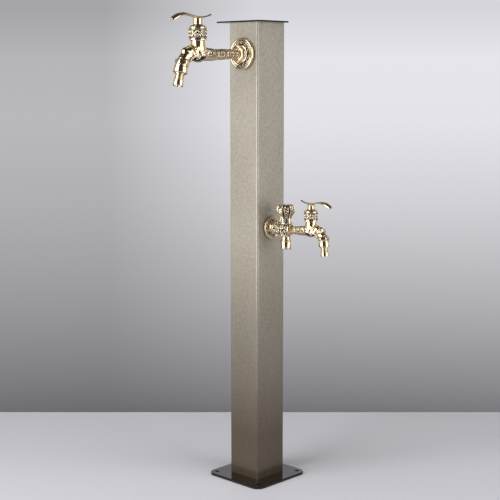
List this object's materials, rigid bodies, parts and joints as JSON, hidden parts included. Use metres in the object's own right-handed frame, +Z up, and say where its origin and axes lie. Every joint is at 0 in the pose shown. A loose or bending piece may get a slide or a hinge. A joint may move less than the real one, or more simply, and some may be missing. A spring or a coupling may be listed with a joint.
{
  "type": "garden standpipe",
  "caption": "Square garden standpipe post on a bolted base plate, with a long ornate lever tap near the top and a lower two-way lever tap with a tulip knob.",
  "frame": {"origin": "centre of the base plate's underside, between the four bolt holes", "axes": "+Z up the post; -Y towards the upper tap's spout; +X towards the lower tap's spout"},
  "size_m": [0.2765, 0.3086, 0.9603],
  "materials": {
    "post_coating": "hammered grey-olive powder coat",
    "plate_coating": "dark bronze, satin",
    "antique_brass": "polished with dark patina in the recesses",
    "plain_brass": "turned",
    "steel": "brushed",
    "ceramic_disc": "lapped",
    "rubber_seal": "matte"
  },
  "bodies": {
    "post": {"post_tube": "post_coating", "base_plate": "plate_coating", "cap_plate": "plate_coating", "cap_insert": "plate_coating", "upper_flange": "antique_brass", "upper_body": "antique_brass", "upper_bonnet": "antique_brass", "upper_nozzle_nut": "antique_brass", "upper_nozzle_tail": "antique_brass", "lower_flange": "antique_brass", "lower_block": "antique_brass", "lower_body": "antique_brass", "lower_bonnet": "antique_brass", "lower_nozzle_nut": "antique_brass", "lower_nozzle_tail": "antique_brass", "side_outlet_collar": "antique_brass", "upper_cartridge": "plain_brass", "upper_locknut": "plain_brass", "lower_cartridge": "plain_brass", "lower_locknut": "plain_brass", "knob_cartridge": "plain_brass", "supply_inlet": "plain_brass", "supply_tee": "plain_brass", "supply_elbow": "plain_brass", "riser_lower": "steel", "riser_upper": "steel", "pipe_clip_lower": "steel", "pipe_clip_upper": "steel", "upper_fixed_disc": "ceramic_disc", "lower_fixed_disc": "ceramic_disc", "knob_fixed_disc": "ceramic_disc", "upper_flange_gasket": "rubber_seal", "lower_flange_gasket": "rubber_seal", "upper_seat_seal": "rubber_seal", "lower_seat_seal": "rubber_seal", "knob_seat_seal": "rubber_seal", "upper_nozzle_washer": "rubber_seal", "lower_nozzle_washer": "rubber_seal", "side_outlet_washer": "rubber_seal"},
    "upper_lever_body": {"upper_lever": "antique_brass", "upper_lever_screw": "steel", "upper_spindle": "plain_brass", "upper_spindle_oring": "rubber_seal", "upper_moving_disc": "ceramic_disc"},
    "lower_lever_body": {"lower_lever": "antique_brass", "lower_lever_screw": "steel", "lower_spindle": "plain_brass", "lower_spindle_oring": "rubber_seal", "lower_moving_disc": "ceramic_disc"},
    "knob_body": {"knob": "antique_brass", "knob_screw": "steel", "knob_spindle": "plain_brass", "knob_spindle_oring": "rubber_seal", "knob_moving_disc": "ceramic_disc"}
  },
  "joints": [
    {"name": "upper_lever_turn", "type": "hinge", "parent": "post", "child": "upper_lever_body", "pos_m": [0, -0.1645, 0.8843], "axis": [0, 0, 1], "range_deg": [0, 90]},
    {"name": "lower_lever_turn", "type": "hinge", "parent": "post", "child": "lower_lever_body", "pos_m": [0.1483, 0, 0.538], "axis": [0, 0, 1], "range_deg": [0, 90]},
    {"name": "knob_turn", "type": "hinge", "parent": "post", "child": "knob_body", "pos_m": [0.081, 0, 0.534], "axis": [0, 0, 1], "range_deg": [0, 90]}
  ]
}
